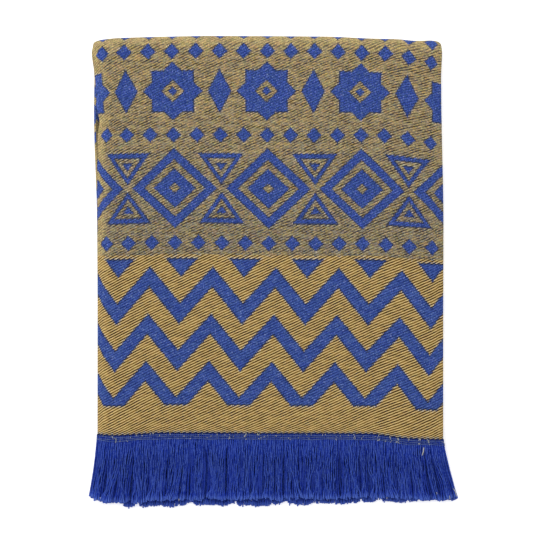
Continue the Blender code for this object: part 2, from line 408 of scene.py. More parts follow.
# The weave is a 3/1 twill: every weft float passes over three ends, and each pick starts one end further
END_PITCH = 0.00136
PICK_PITCH = 0.00064
TWILL = 4  # ends to a repeat
OVER = 0.63  # share of a repeat that the float shows
BEATEN, BEATEN_FADE = 0.003, 0.004  # how far the picks are beaten up at the hem, and where that fades
DASH_PICKS = 4.5  # the length of a dash in the grooves
GRAIN = 0.0008  # the fuzz and unevenness of the yarns
STEP_PICKS = 2  # the height of the steps in a figure's edge
EDGE_ROUGH = 0.0007  # how far floats roughen that edge
EDGE_ZONE = 0.0005, 0.0013  # how far from it the dots and the pale floats start to fade, and end
HEM_SCALLOP = 0.0026  # the ribs' round ends at the hem

# The border, as distances from the hem: a plain band, three zigzags and a thin gold line
ZIGZAG_FOOT = 0.0266
ZIGZAG_HEAD = 0.1679
FIELD_FROM = 0.1712
ZIGZAG_TIP = 0.1595  # the highest apex
ZIGZAG_WIDE = 0.0605  # from apex to apex
ZIGZAG_FIRST = 0.0068  # an apex, from the middle
ZIGZAG_HIGH = 0.0452  # from one zigzag to the next
ZIGZAG_BLUE = 0.0193  # the height of its blue at an apex
ZIGZAG_SLOPE = 1.165
ZIGZAG_SWELL = 0.017  # how much the blue widens down its arms, to each side
ZIGZAG_LEAN = 0.0456  # how far the apexes shift sideways from one to the one above, as a slope
FOLD_V = 0.37  # where the front goes over the top fold

# The field: rows of ringed lozenges with hourglasses between, small diamonds, and eight-pointed stars with
# slivers between. A Y is a row's middle in the repeat.
FIELD_REPEAT = 0.204
MOTIF_WIDE = 0.090
LOZENGE_Y, LOZENGE_HALF_X, LOZENGE_HALF_Y = 0.064, 0.041, 0.039
LOZENGE_RINGS = ((0.85, 0.15), (0.31, 0.19))  # the middle and half width of its blue rings, as shares
GLASS_HIGH, GLASS_SLOPE, GLASS_WAIST = 0.034, 0.72, 0.003
GLASS_WALL, GLASS_FILLED = 0.0055, 0.0095  # how thick its blue wall is, and how far in it is blue again
STAR_Y, STAR_SQUARE, STAR_POINT = 0.158, 0.0205, 0.029
STAR_EYE, STAR_DOT = 0.0105, 0.0048  # its gold eye, and the blue dot in the middle of that
SLIVER_X, SLIVER_Y = 0.0115, 0.022
DIAMOND_ROWS = (0.0115, 0.1155, 0.1965)
DIAMOND_WIDE, DIAMOND_HALF = 0.0225, 0.0078


def border_figure(s, v):
    """How far a place lies inside the border's blue, in metres: along zigzags, cut off at foot and head."""
    aside = (s - ZIGZAG_FIRST - ZIGZAG_LEAN * (v - ZIGZAG_TIP)).from_nearest(ZIGZAG_WIDE)
    off_middle = (v + ZIGZAG_SLOPE * aside - (ZIGZAG_TIP - ZIGZAG_BLUE / 2)).from_nearest(ZIGZAG_HIGH)
    inside = ZIGZAG_SWELL * aside + ZIGZAG_BLUE / 2 - off_middle
    return inside.least(v - ZIGZAG_FOOT).least(ZIGZAG_HEAD - v)


def field_figure(s, v):
    """How far a place lies inside the blue of the field's figures, in metres.

    Every figure is drawn from how far the place is aside of its middle and up or down from it, and the
    place is as far inside the blue as it is inside the figure that holds it deepest.
    """
    row = ((v - FIELD_FROM) / FIELD_REPEAT).fract() * FIELD_REPEAT
    aside = s.from_nearest(MOTIF_WIDE)
    between = MOTIF_WIDE / 2 - aside

    up = abs(row - LOZENGE_Y)
    ring = aside / LOZENGE_HALF_X + up / LOZENGE_HALF_Y
    outer, inner = [half - abs(ring - middle) for middle, half in LOZENGE_RINGS]
    lozenge = outer.most(inner) * LOZENGE_HALF_Y
    glass = (GLASS_SLOPE * (up - GLASS_WAIST) - between).least(GLASS_HIGH - up)
    hourglass = glass.least(GLASS_WALL - glass).most(glass - GLASS_FILLED)

    up = abs(row - STAR_Y)
    slant = aside + up
    star = (STAR_SQUARE - aside.most(up)).most(STAR_POINT - slant)
    star = star.least(slant - STAR_EYE).most(STAR_DOT - slant)
    sliver = (1 - between / SLIVER_X - up / SLIVER_Y) * SLIVER_X

    small = s.from_nearest(DIAMOND_WIDE)
    figure = lozenge.most(hourglass).most(star).most(sliver)
    for place in DIAMOND_ROWS:
        figure = figure.most(DIAMOND_HALF - small - abs(row - place))
    return figure.least(v - FIELD_FROM)


# What the cloth's colours are worked out from at each place: where it is on the flat cloth, across it and
# from the nearer hem, whether that is in the field and how far up, how bent the cloth is (which also sets
# the painted light on the folds), its pick, its float's own number, how high it is on a rib, how deep in a
# groove, and the fuzz of the yarn
Weave = namedtuple("Weave", "flat s v field higher bend pick each crown dash ribbing groove fuzz grain")


def twill_weave(start):
    """Works out the twill at each place of the flat cloth.

    A place's end is its distance across over the ends' pitch, and its pick its distance along over the
    picks'. Their difference over the repeat counts the ribs, and the fraction of that is the place on a
    rib, which is half a sine high over the share that the float shows.
    """
    flat = start.node("UVMap", uv_map="weave")
    s = start.node("SeparateXYZ", {0: flat})
    y = s.other("Y")
    v = y.least(CLOTH_LENGTH - y)
    field = v > FIELD_FROM
    higher = v.ease(FIELD_FROM, FOLD_V)
    bend = start.node("Attribute", output="Fac", attribute_name="bend")

    # Yarns aren't quite straight, so the ribs wander, and picks are beaten closer at the hem
    wander = start.node("TexNoise", {"Vector": flat, "Scale": 70.0, "Detail": 2.0})
    end = s / END_PITCH + (wander - 0.5) * (field * 1.8 + 1.2)
    beaten = BEATEN * start.node("Math", {0: math.e, 1: v / -BEATEN_FADE}, operation="POWER")
    pick = (y - beaten) / PICK_PITCH
    number = pick.floor()
    twill = (end - number) / TWILL
    each = noise("TexWhiteNoise", twill.floor(), number).other("Value")
    rib = twill.fract() / OVER + (each - 0.5) * (field * 0.32)
    crown = (rib * math.pi).math("SINE").most(0.0).math("POWER", 0.85) * (rib < 1.0)
    fuzz = noise("TexWhiteNoise", (s / GRAIN).floor(), (y / GRAIN).floor()).other("Color")
    grain = start.node("SeparateXYZ", {0: fuzz})

    # The grooves between ribs come and go as dashes a few picks long
    dash = noise("TexNoise", twill.floor() * 3.7, pick / DASH_PICKS, Scale=1.0, Detail=1.0)
    dash = dash.ease(0.38, 0.62)
    # On a bend the grooves fade: flatter ribs and painted light on the folds together
    ribbing = (1 - crown) * (1 - 0.5 * bend)
    groove = ribbing * (0.76 + 0.44 * dash + field * (0.14 * dash - 0.22 - 0.14 * higher))
    return Weave(flat, s, v, field, higher, bend, pick, each, crown, dash, ribbing, groove, fuzz, grain)


def blue_figures(weave):
    """How far a place lies inside the blue on the front of the cloth, in metres.

    Figures have stepped edges, one end wide and two picks high, roughened by the floats that end there,
    and the blue heading meets the gold in round scallops.
    """
    step = STEP_PICKS * PICK_PITCH
    end_cell = (weave.s / END_PITCH).floor() * END_PITCH + END_PITCH / 2
    pick_cell = (weave.v / step).floor() * step + step / 2
    inside = border_figure(end_cell, pick_cell).most(field_figure(end_cell, pick_cell))
    inside = inside + (weave.crown - 0.6 + 0.5 * (weave.each - 0.5)) * EDGE_ROUGH
    scallop = abs((weave.s / END_PITCH / TWILL).fract() - 0.5) * HEM_SCALLOP
    return inside.most(scallop - weave.v)


def gold_cotton(weave, edge):
    """The gold's colour: light floats, paler ones at the blue's edges that are partly painted glints, and
    brown grooves with dark dots, their dark partly painted shade between the ribs.
    """
    cool = weave.higher.blend(paint(138, 136, 125), paint(156, 144, 113))
    warm = weave.higher.blend(paint(171, 148, 91), paint(189, 158, 88))
    warmth = (0.5 * weave.grain.other("Y") + 0.5 * weave.each).ease(0.25, 0.75)
    pale = (weave.each.ease(0.6, 1.0) * 0.25).blend(warmth.blend(cool, warm), paint(186, 178, 160))
    # Painted light: on a bend the field's gold is warmer and lighter
    light = weave.field.blend(paint(217, 191, 134), weave.bend.blend(pale, paint(182, 161, 108)))
    honey = weave.field.blend(paint(184, 146, 73), paint(148, 132, 100))
    # The grooves darken through honey to brown: partly the blue warp showing, partly painted shade between
    # the ribs
    light = (weave.groove * 1.8).least(1.0).blend(light, honey)
    # Pale floats at the blue's edges: partly the floats' ends, partly painted glints
    light = (edge * (weave.grain > 0.4) * (0.7 - 0.35 * weave.field)).blend(light, paint(206, 202, 190))
    brown = weave.field.blend(paint(66, 43, 4), warmth.blend(paint(56, 60, 78), paint(80, 62, 18)))
    dark = (weave.dash * (weave.grain > 0.7)).blend(brown, paint(26, 26, 38))
    return weave.groove.blend(light, dark)


def blue_cotton(weave, edge):
    """The blue's colour: two mixed blues with pale flecks, painted shadow in the grooves, and dull and dark
    at its edges, partly as painted shade.
    """
    mid = weave.grain.blend(paint(46, 68, 146), paint(78, 102, 172))
    slate = weave.grain.blend(paint(52, 80, 138), paint(90, 115, 168))
    mixed = (weave.grain.other("Y").ease(0.5, 0.9) * (0.8 - 0.5 * weave.field)).blend(mid, slate)
    flecked = (weave.grain > 0.95 + 0.02 * weave.field).blend(mixed, paint(110, 128, 182))
    shadow = weave.groove * 0.72 + weave.field * (0.58 * weave.ribbing - 0.72 * weave.groove)
    yarn = shadow.blend(flecked, paint(17, 32, 92))
    # Dull and dark at a figure's edge: partly the yarns' ends, partly painted shade
    dull = weave.grain.blend(paint(22, 24, 30), paint(76, 80, 76))
    return (edge * (0.35 + 0.15 * weave.field + 0.5 * weave.grain)).blend(yarn, dull)


def dye_and_paint_shading(start, weave, blue, colour):
    """Multiplies a colour by 1 plus a little noise in each of red, green and blue, and by a level that also
    holds painted light on the bends and painted shade on one fold.
    """
    shade = start.node("TexNoise", {"Vector": weave.flat, "Scale": 260.0, "Detail": 3.0})
    hue = (weave.field * blue).blend(shade.other("Color"), weave.fuzz)
    strength = weave.field * (0.25 - 0.28 * blue) + 0.2
    bluer = 0.8 + blue + weave.field * (0.3 + 0.8 * blue)
    strength = start.node("CombineXYZ", {0: strength, 1: strength * 0.85, 2: strength * bluer})
    offset = start.node("VectorMath", {0: hue, 1: (0.5, 0.5, 0.5)}, operation="SUBTRACT")
    tint = start.node("VectorMath", {0: offset, 1: strength, 2: (1, 1, 1)}, operation="MULTIPLY_ADD")

    # The level differs from float to float and from grain to grain. It is raised a little on the bends as
    # painted light, and lowered on the fold under the top quarter as painted shade
    painted_fold_shade = start.node("Attribute", output="Fac", attribute_name="painted_fold_shade")
    uneven = 0.3 + weave.field * (0.3 - 0.15 * blue) + 0.2 * weave.bend
    level = (0.93 + 0.14 * weave.each) * (1 + uneven * (weave.grain - 0.5))
    level = level * (1 + 0.05 * weave.bend - blue * (0.04 + 0.07 * weave.field)) * (1 - 0.7 * painted_fold_shade)
    tint = start.node("VectorMath", {0: tint, "Scale": level}, operation="SCALE")
    return start.node("VectorMath", {0: colour, 1: tint}, operation="MULTIPLY")


def cloth_material():
    """Gold and blue cotton twill, drawn on the flat cloth's own coordinates."""
    material = new_material("double_faced_twill")
    start = Wire(material.node_tree)
    weave = twill_weave(start)
    inside = blue_figures(weave)
    on_back = start.node("Attribute", output="Fac", attribute_name="back") > 0.5
    blue = abs((inside > 0) - on_back)
    edge = 1 - (abs(inside) * (0.65 + 0.35 * weave.field)).ease(*EDGE_ZONE)

    # Between the ribs at the edge of a figure the cloth is dotted dark, partly the yarns' ends and partly
    # painted shade
    colour = blue.blend(gold_cotton(weave, edge), blue_cotton(weave, edge))
    dots = edge * (1 - 1.6 * weave.crown) * (0.9 - 0.5 * weave.field)
    colour = dye_and_paint_shading(start, weave, blue, dots.blend(colour, paint(18, 24, 48)))

    beads = (weave.pick.fract() * math.pi).math("SINE")
    height = (1 - weave.groove) * (1 - blue * 0.45) + beads * 0.15
    bump = start.node("Bump", {"Strength": 0.6, "Distance": 0.0003, "Height": height})
    cotton = {"Roughness": 0.85, "Specular IOR Level": 0.05, "Sheen Weight": 0.04}
    set_shader(material, {"Base Color": colour, "Normal": bump, **cotton})
    return material


twill_cotton = cloth_material()

# The cloth's mesh is cut along its folds, and is finer where it shows
FINE = 0.0036  # cells that show
COARSE = 0.0080  # cells inside the stack
TURN = 0.0009  # cells of the side folds and of the folds inside the stack
TOP_TURN = 0.0018  # cells of the top fold
SEAM = 0.004  # how far past a fold the face's mesh ends, out of sight

cuts_x = [0.0, X_STOPS[1] - SEAM, *X_STOPS[1:5], X_STOPS[4] + SEAM, CLOTH_WIDTH]
grid_x = divide(cuts_x, [COARSE, SEAM, TURN, FINE, TURN, SEAM, COARSE])
cuts_y = [0.0, Y_STOPS[1], Y_STOPS[2], Y_STOPS[2] + SEAM, Y_STOPS[3] - SEAM, *Y_STOPS[3:]]
grid_y = divide(cuts_y, [FINE, TOP_TURN, SEAM, COARSE, SEAM, TURN, COARSE, TURN, COARSE])

middle_x = (grid_x[1:] + grid_x[:-1]) / 2
middle_y = ((grid_y[1:] + grid_y[:-1]) / 2)[:, None]
front_third = (middle_x > cuts_x[1]) & (middle_x < cuts_x[6])
on_face = front_third & (middle_y < cuts_y[3])
on_base = front_third & (middle_y > cuts_y[3]) & (middle_y < cuts_y[4])

# The cloth is drawn in beside its side folds: on which side, how far, and from where to where
DRAWN_IN = ((-1, 0.0038, 0.141, 0.176), (-1, 0.0044, 0.162, 0.1705), (1, 0.0048, 0.155, 0.175))

# Near the top fold its rows sag towards the right fold: how far, and where along and across the cloth that
# starts, is full, starts to lessen and ends
ROW_SAG = 0.0085
SAG_ROWS = 0.235, 0.300, 0.42, 0.60
SAG_ACROSS = 0.115, 0.172, 0.18, 0.30

# The ribs are flatter on a bend, and rubbed flat along the left fold, more in the field than in the border.
# The bend also paints light on the folds, where the cloth is lighter and its grooves fainter. Along the
# left fold that paler strip is rubbed wear and painted light together
BEND_BLEND = 0.006  # how far before a fold its bend starts
TOP_BEND = 0.012  # how far inside the folds along the cloth it is full
WORN_AND_LIT_EDGE = 0.013  # how far before the left fold its wear starts
WORN_AND_LIT_FIELD, WORN_AND_LIT_BORDER, WORN_AND_LIT_RIGHT = 1.1, 0.5, 0.1

# The last quarter, right under the top one, gets painted shade at its left fold, where it lies under the
# top quarter's fold: the middle and half length of that
LAST_QUARTER = Y_STOPS[6]  # where it starts on the flat cloth
PAINTED_SHADE_Y = 0.135, 0.042


def on_turns(place, stops, before=BEND_BLEND, inside=0.0):
    """0 up to that far before a half turn of the cloth, and 1 from that far inside it."""
    bend = np.zeros(place.shape)
    for start, end in zip(stops[1::2], stops[2::2]):
        reach = np.minimum(place - start, end - place)
        bend = np.maximum(bend, smooth_rise(reach, -before, inside))
    return bend


def swell(value, rise_from, rise_to, fall_from, fall_to):
    """A smooth rise from 0 to 1, and a smooth fall back to 0 further on."""
    return smooth_rise(value, rise_from, rise_to) * (1 - smooth_rise(value, fall_from, fall_to))


def make_cloth(name, kept):
    """Weaves, folds and finishes one part of the cloth, the kept cells of its grid."""
    flat, quads, rims = weave_sheet(grid_x, grid_y, kept)
    piece = make_mesh(name, lay_up(flat), quads.tolist(), twill_cotton)
    smooth = np.arange(len(quads)) < len(quads) - rims
    piece.data.polygons.foreach_set("use_smooth", smooth)

    weave = flat[:, :2] - (MIDDLE_ACROSS, 0)
    weave[:, 1] += ROW_SAG * swell(weave[:, 1], *SAG_ROWS) * swell(weave[:, 0], *SAG_ACROSS)
    for hand, pull, start, end in DRAWN_IN:
        weave[:, 0] += hand * pull * smooth_rise(hand * weave[:, 0], start, end)
    add_map(piece, "weave", weave)
    add_value(piece, "back", flat[:, 2] < 0)

    on_left = weave[:, 0] < 0
    side_fold = on_turns(flat[:, 0], X_STOPS)
    worn_and_lit = np.where(flat[:, 1] > FIELD_FROM, WORN_AND_LIT_FIELD, WORN_AND_LIT_BORDER)
    worn_and_lit = np.where(on_left, on_turns(flat[:, 0], X_STOPS, WORN_AND_LIT_EDGE) * worn_and_lit, WORN_AND_LIT_RIGHT * side_fold)
    # The bend value, which the material turns into flatter ribs and painted light on the folds
    add_value(piece, "bend", np.maximum(on_turns(flat[:, 1], Y_STOPS, inside=TOP_BEND), worn_and_lit))
    place = fold(flat[:, 1], 0 * flat[:, 1], QUARTERS)[0]
    # Painted shade on the last quarter's left fold, under the top quarter's fold
    painted_fold_shade = side_fold * on_left * (flat[:, 1] > LAST_QUARTER) * hump(place, *PAINTED_SHADE_Y)
    add_value(piece, "painted_fold_shade", painted_fold_shade)
    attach(piece, "root")
    return piece


cloth_face = make_cloth("cloth_face", on_face)
cloth_base = make_cloth("cloth_base", on_base)
cloth_layers = make_cloth("cloth_layers", ~(on_face | on_base))
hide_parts("towel_cloth")

# The headings: past the last gold pick three blue cords are woven across the warp on each side of the
# cloth, and hold it. Ends of the gold yarn and a few loose threads stick out between them.
CORD_PLACES = (0.0017, 0.0035, 0.0053)  # past the hem
CORD_RADIUS = 0.00036
CORD_LIFT = 0.00105  # from the middle of the cloth
CORD_WANDER = 0.0003  # how far a cord strays to either side, and in waves about how long
CORD_WAVE = 0.03

# The ends of gold yarn: their spacing, radius and height, how far past the hem the first is and how much
# further the others, crowded towards the hem, their turn from upright, and the least and most of their
# half length and thickness. Some are small tufts.
FLECK_PITCH = 0.0055
FLECK_RADIUS = 0.0003
FLECK_LIFT = 0.0014
FLECK_FIRST, FLECK_FURTHER, FLECK_CROWD = 0.0003, 0.0055, 1.4
FLECK_TURN = 0.7
FLECK_HALF = 0.0003, 0.0009
FLECK_THICK = 0.7, 1.1
TUFT_SHARE = 0.15
TUFT_YARNS = 5
TUFT_WIDE = 0.0008

# Loose pale threads: each as three points, in metres from the middle of the front and past the hem
STRAYS = (
    ((0.1478, 0.0080), (0.1470, 0.0125), (0.1455, 0.0165)),
    ((0.1650, 0.0560), (0.1656, 0.0600), (0.1655, 0.0645)),
    ((0.1618, 0.0620), (0.1622, 0.0640), (0.1620, 0.0660)),
    ((0.1520, 0.0580), (0.1524, 0.0592), (0.1519, 0.0605)),
    ((-0.1469, 0.0022), (-0.1465, 0.0045), (-0.1468, 0.0066)),
)
STRAY_LIFT = 0.0024
STRAY_RADIUS = 0.0005

YARN_SIDES = 4  # the sides of every cord, end and yarn
SPECKS, STREAKS, TWISTS = 550, 140, 600  # to a metre of yarn


def yarn_material(name, length, dark, light, streak):
    """Loose twisted cotton yarn: each between its dark and light colour, with paler streaks along it."""
    material = new_material(name)
    start = Wire(material.node_tree)
    number = start.node("SeparateXYZ", {0: start.node("UVMap", uv_map="yarn")})
    down = number.other("Y")
    each = start.node("TexWhiteNoise", {"W": number.floor()}, noise_dimensions="1D").other("Value")
    speck = noise("TexNoise", number.floor() * 7.3, down * (SPECKS * length), Scale=1.0, Detail=1.0)
    shine = noise("TexNoise", number.floor() * 5.1, down * (STREAKS * length), Scale=1.0, Detail=2.0)
    twist = abs((number * 2 + down * (TWISTS * length)).fract() - 0.5) * 2.0
    colour = (0.35 + 0.65 * each).blend(dark, light)
    colour = (shine.ease(0.42, 0.62) * 0.6).blend(colour, streak)
    colour = (0.7 * speck.ease(0.35, 0.7)).blend(colour, streak)
    colour = (0.6 - 0.6 * twist.ease(0.1, 0.8)).blend(colour, dark)

    # The lower row is darker as painted shade, and so are the under fringe's upper row and the yarns on the
    # side folds. Cut tips are paler, partly their opening plies and partly painted light where they curl
    # up. Midway down the yarns are a little darker, painted shade in the heap's hollows, and they are dark
    # and dull where they leave the heading, painted shade under the cords
    lower = start.node("Attribute", output="Fac", attribute_name="lower")
    colour = (0.6 * lower).blend(colour, dark)
    colour = (down.ease(0.92, 1.0) * (0.8 - 0.3 * lower)).blend(colour, streak)
    colour = (0.14 * down.ease(0.25, 0.45) * (1 - down.ease(0.84, 0.94))).blend(colour, paint(26, 36, 74))
    colour = (0.3 - 0.3 * down.ease(0.07, 0.12)).blend(colour, dark)
    colour = (0.65 - 0.65 * down.ease(0.012, 0.028)).blend(colour, paint(20, 22, 34))
    bump = start.node("Bump", {"Strength": 0.5, "Distance": 0.0002, "Height": twist + speck})
    cotton = {"Roughness": 0.8, "Specular IOR Level": 0.05}
    set_shader(material, {"Base Color": colour, "Normal": bump, **cotton})
    return material


def tubes(paths, radii, sides, aside):
    """Closed tubes along many paths at once.

    paths has a row of points for each tube, and radii a number for each point. Round every point stands
    a ring of its radius, square to the path and turned by the direction aside, and the two end rings
    close on a middle point. Returns the points of each tube, and the quads and triangles of one tube.
    """
    count, rings = paths.shape[:2]
    ahead = np.gradient(paths, axis=1)
    ahead /= np.linalg.norm(ahead, axis=-1, keepdims=True)
    first = aside - ahead * (ahead @ aside)[..., None]
    first /= np.linalg.norm(first, axis=-1, keepdims=True)
    second = np.cross(ahead, first)
    angle = (2 * np.pi * np.arange(sides) / sides)[:, None]
    ring = first[:, :, None] * np.cos(angle) + second[:, :, None] * np.sin(angle)
    points = paths[:, :, None] + radii[..., None, None] * ring
    points = np.concatenate([points.reshape(count, -1, 3), paths[:, [0, -1]]], 1)
    number = np.arange(rings * sides).reshape(rings, sides)
    following = np.roll(number, -1, 1)
    walls = np.stack([number[:-1], following[:-1], following[1:], number[1:]], -1).reshape(-1, 4)
    start_cap = np.stack([following[0], number[0], np.full(sides, rings * sides)], -1)
    end_cap = np.stack([number[-1], following[-1], np.full(sides, rings * sides + 1)], -1)
    return points, walls, np.concatenate([start_cap, end_cap])


def make_tubes(name, paths, radii, sides, aside, material):
    """Makes one piece of many tubes.

    In its map a point is at its tube's number plus the share of the way round it, kept clear of whole
    numbers, and at the share of the way along it.
    """
    points, walls, caps = tubes(paths, radii * np.ones(paths.shape[:2]), sides, np.array(aside))
    count, size = points.shape[:2]
    shift = (np.arange(count) * size)[:, None, None]
    faces = (walls + shift).reshape(-1, 4).tolist() + (caps + shift).reshape(-1, 3).tolist()
    piece = make_mesh(name, points, faces, material)
    rings = paths.shape[1]
    turn = np.append(np.tile(np.arange(sides) / sides, rings), [0.5, 0.5]) * 0.98 + 0.01
    down = np.append(np.repeat(np.linspace(0, 1, rings), sides), [0.0, 1.0])
    uv = np.stack(np.broadcast_arrays(np.arange(count)[:, None] + turn, down), -1).reshape(-1, 2)
    add_map(piece, "yarn", uv)
    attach(piece, "root")
    return piece


def wandering(rng, place, length):
    """A smooth random curve between about -1 and 1: a sum of sines about that long."""
    turns = 2 * np.pi / (length * rng.uniform(0.5, 1.6, 5))
    starts = rng.uniform(0, 2 * np.pi, 5)
    return np.sin(place[..., None] * turns + starts).sum(-1) / 2.2


def make_cords(name, seed, hem, outward):
    """The cords on both sides of one end: its hem is there along the cloth, and outward is 1 or -1."""
    rng = np.random.default_rng(seed)
    cords = []
    for face in (1, -1):
        for place in CORD_PLACES:
            past = place + CORD_WANDER * wandering(rng, grid_x, CORD_WAVE)
            lift = np.full(grid_x.shape, face * CORD_LIFT)
            cords.append(np.stack([grid_x, hem + outward * past, lift], -1))
    return make_tubes(name, lay_up(np.stack(cords)), CORD_RADIUS, YARN_SIDES, (0, 1, 0), cord_yarn)


def fleck_paths(rng, hem, outward):
    """Short ends of gold yarn, by turns on the front and the back, as three points in a line each."""
    x = np.arange(2 * FLECK_PITCH, CLOTH_WIDTH - 2 * FLECK_PITCH, FLECK_PITCH / 2)
    face = np.where(np.arange(x.size) % 2 > 0, 1, -1)
    x = x + rng.normal(0, FLECK_PITCH / 3, x.size)
    tuft = np.repeat(np.flatnonzero(rng.uniform(0, 1, x.size) < TUFT_SHARE), TUFT_YARNS)
    x = np.append(x, x[tuft] + rng.normal(0, TUFT_WIDE, tuft.size))
    face = np.append(face, face[tuft])
    count = x.size
    past = FLECK_FIRST + FLECK_FURTHER * rng.uniform(0, 1, count) ** FLECK_CROWD
    turn = rng.normal(math.pi / 2, FLECK_TURN, count)[:, None]
    reach = rng.uniform(*FLECK_HALF, count)[:, None] * np.array([-1, 0, 1])
    x = x[:, None] + reach * np.cos(turn)
    y = hem + outward * (past[:, None] + reach * np.sin(turn))
    return np.stack([x, y, (face * FLECK_LIFT)[:, None] + 0 * x], -1)


def make_flecks(name, seed, hem, outward, strays):
    """The ends of gold yarn that stick out between the cords, and the given loose threads."""
    rng = np.random.default_rng(seed)
    flecks = fleck_paths(rng, hem, outward)
    points = np.reshape(strays, (-1, 3, 2))
    x = MIDDLE_ACROSS + points[..., 0]
    y = hem + outward * points[..., 1]
    paths = np.concatenate([flecks, np.stack([x, y, STRAY_LIFT + 0 * x], -1)])
    radii = np.repeat([FLECK_RADIUS, STRAY_RADIUS], [len(flecks), len(points)])
    radii = radii * rng.uniform(*FLECK_THICK, len(paths))
    return make_tubes(name, lay_up(paths), radii[:, None], YARN_SIDES, (0, 0, 1), pale_yarn)


cord_yarn = yarn_material("cord_yarn", 0.6, paint(26, 46, 114), paint(70, 93, 158), paint(114, 132, 176))
pale_yarn = yarn_material(
    "pale_yarn", 0.002, paint(98, 104, 106), paint(184, 196, 196), paint(236, 234, 228)
)
top_cords = make_cords("heading_top_cords", 1, 0.0, -1)
top_flecks = make_flecks("heading_top_flecks", 2, 0.0, -1, STRAYS)
under_cords = make_cords("heading_under_cords", 11, CLOTH_LENGTH, 1)
under_flecks = make_flecks("heading_under_flecks", 12, CLOTH_LENGTH, 1, ())

# The fringes: at each end of the cloth its blue warp yarns stand out past the heading. They lie in
# loose bunches that draw together and part again at their cut tips, and rest on the floor.
CLOSE_PITCH = 0.0020  # between yarns that show
FLAP_PITCH = 0.0024  # and between the others
CLOSE_PAST = 0.012  # how far past a side fold they are still close
UPPER_RADIUS = 0.00052
LOWER_RADIUS = 0.00088
YARN_RINGS = 26
YARN_TUCK = 0.0004  # how far inside the heading a yarn starts
YARN_STRAY = 0.12  # how unevenly yarns stand, as a share of CLOSE_PITCH
YARN_UNEVEN = 0.0006  # how unevenly they are cut
FLAP_SHORTER = 0.0008
ROUNDED = 0.0009  # how much further a bunch reaches at its middle
UNTWISTED = 0.3  # how much thicker a yarn is at its cut end, where its plies open
UNTWISTED_FROM = 0.9
FOLD_SHADE = 0.6  # how dark the yarns on the side folds are, where the lower row is 1
CALM = 0.7  # the share of its waviness that a yarn loses on the side folds
LOWER_CALM = 0.5  # and in the lower row

# Bunches of yarns: the least and most of their width, of the share of it that they lose on the way down
# and of where that starts, where they are narrowest, and what share of the loss their tips get back
BUNCH_WIDE = 0.005, 0.015
BUNCH_COUNT = 300  # more than the cloth's width holds
GATHER = 0.15, 0.75
LOWER_GATHER = 0.5  # the share of that in the lower row
GATHER_FROM = 0.15, 0.6
NARROWEST = 0.8
REGAINED = 0.8

# How they lean: neighbours alike in long waves, each bunch and each yarn by itself, and more lower down
DRIFT, DRIFT_WAVE = 0.0018, 0.05
BUNCH_LEAN = 0.0008
YARN_LEAN = 0.0004
LEAN_CURVE = 1.6

# How they bow to one side on the way down, turning from bunch to bunch, and how each yarn crinkles: by
# how much, and in how many waves from the least to the most
BOW, BOW_TURN, BOW_CURVE = 0.0014, 2.4, 1.4
CRINKLES = ((0.00050, 1.2, 3.2), (0.00024, 4.0, 8.0))
CRINKLE_FROM = 0.02, 0.2

# How high they lie: a bunch's middle is higher than its sides, bunches and yarns differ a little, the two
# rows part, and the tips curl up
LOFT, LOFT_SIDES = 0.0012, 0.0004
LOFT_FROM = 0.06, 0.45
BUNCH_LOFT = 0.0004
YARN_LOFT = 0.00035
ROW_LIFT, ROW_PARTING = 0.0004, 0.0001
CURL = 0.3, 1.0
CURL_FROM = 0.80

# Where a fringe's tips stop short: each place from the middle of the front, half its width, and its depth
TOP_NOTCHES = ((-0.0100, 0.1150, 0.0014),)
UNDER_NOTCHES = (
    (-0.1560, 0.0150, 0.0080),
    (-0.1287, 0.0016, 0.0076),
    (-0.0785, 0.0034, 0.0030),
    (-0.0756, 0.0012, 0.0030),
    (-0.0350, 0.0014, 0.0045),
    (-0.0256, 0.0011, 0.0045),
    (-0.0125, 0.0075, -0.0017),
    (0.0004, 0.0015, 0.0028),
    (0.0147, 0.0026, 0.0042),
    (0.0222, 0.0020, 0.0018),
    (0.0447, 0.0060, 0.0025),
    (0.0870, 0.0020, 0.0034),
    (0.1050, 0.0022, 0.0046),
    (0.1325, 0.0016, 0.0036),
    (0.1451, 0.0016, 0.0038),
    (0.1430, 0.0110, 0.0016),
    (0.1720, 0.0300, 0.0044),
)

# One end's fringe: close is where its yarns stand close, uneven how unevenly its bunches are cut, lift how
# far its tips curl up, and shade how dark its upper row is
Fringe = namedtuple("Fringe", "node seed hem outward close length uneven lift shade notches")

TOP_FRINGE = Fringe(
    node="fringe_top",
    seed=3,
    hem=0.0,
    outward=-1,
    close=(X_STOPS[1] - CLOSE_PAST, X_STOPS[4] + CLOSE_PAST),
    length=0.0662,
    uneven=0.0008,
    lift=0.0034,
    shade=0.0,
    notches=TOP_NOTCHES,
)
UNDER_FRINGE = Fringe(
    node="fringe_under",
    seed=5,
    hem=CLOTH_LENGTH,
    outward=1,
    close=(X_STOPS[4] - CLOSE_PAST, CLOTH_WIDTH - FLAP_PITCH),
    length=0.0664,
    uneven=0.0007,
    lift=0.0004,
    shade=0.8,
    notches=UNDER_NOTCHES,
)


def yarn_roots(rng, close_from, close_to):
    """Where each yarn stands across the cloth, and its row: -1 for the lower, whose yarns stand between."""
    spans = (
        (FLAP_PITCH / 2, close_from, FLAP_PITCH),
        (close_from, close_to, CLOSE_PITCH),
        (close_to, CLOTH_WIDTH - FLAP_PITCH, FLAP_PITCH),
    )
    upper = np.concatenate([np.arange(*span) for span in spans])
    lower = upper[:-1] + np.diff(upper) / 2
    row = np.repeat([-1.0, 1.0], [lower.size, upper.size])
    stray = rng.uniform(-YARN_STRAY, YARN_STRAY, row.size) * CLOSE_PITCH
    return np.concatenate([lower, upper]) + stray, row


